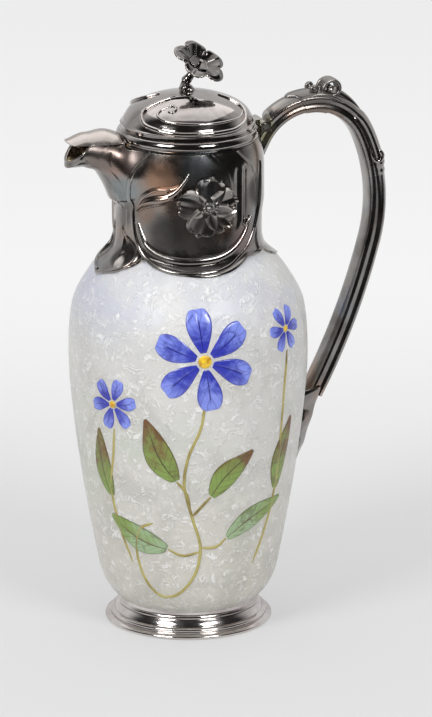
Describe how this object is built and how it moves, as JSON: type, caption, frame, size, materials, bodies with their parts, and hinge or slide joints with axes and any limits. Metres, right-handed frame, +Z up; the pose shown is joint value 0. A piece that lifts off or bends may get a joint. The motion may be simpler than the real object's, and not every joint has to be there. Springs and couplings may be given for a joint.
{
  "type": "claret jug",
  "caption": "Tall frosted glass jug in a plated mount, with a spout, an arched handle and a hinged domed lid.",
  "frame": {"origin": "centre of the foot's resting plane", "axes": "+Z up through the lid, spout towards -X, handle towards +X"},
  "size_m": [0.1586, 0.112, 0.278],
  "materials": {
    "frosted_glass": "acid-frosted with fine ripples and painted enamel flowers",
    "mount_metal": "tarnished silver plate, polished relief",
    "foot_metal": "silver plate, lightly tarnished",
    "fixing_metal": "plain turned metal",
    "plaster": "set plaster"
  },
  "bodies": {
    "jug": {"glass_body": "frosted_glass", "foot_shell": "foot_metal", "foot_wire": "foot_metal", "foot_plaster": "plaster", "neck_collar": "mount_metal", "collar_rim": "mount_metal", "collar_plaster": "plaster", "spout_trough": "mount_metal", "spout_hood": "mount_metal", "stem_left": "mount_metal", "stem_right": "mount_metal", "flower_left": "mount_metal", "flower_right": "mount_metal", "bud_left": "mount_metal", "bud_right": "mount_metal", "handle_left": "mount_metal", "handle_right": "mount_metal", "handle_sheath": "mount_metal", "handle_bud": "mount_metal", "handle_knot": "mount_metal", "handle_terminal": "mount_metal", "terminal_plaster": "plaster", "hinge_knuckles": "mount_metal", "hinge_pin": "fixing_metal"},
    "lid": {"lid_dome": "mount_metal", "lid_rim": "mount_metal", "lid_bezel": "mount_metal", "lid_stem": "mount_metal", "lid_knuckle": "mount_metal", "finial_stem": "mount_metal", "finial_calyx": "mount_metal", "finial_flower": "mount_metal", "finial_screw": "fixing_metal", "finial_nut": "fixing_metal", "finial_washer": "fixing_metal"}
  },
  "joints": [
    {"name": "lid_hinge", "type": "hinge", "parent": "jug", "child": "lid", "pos_m": [0.03585, 0, 0.237], "axis": [0, 1, 0], "range_deg": [0, 75]}
  ]
}
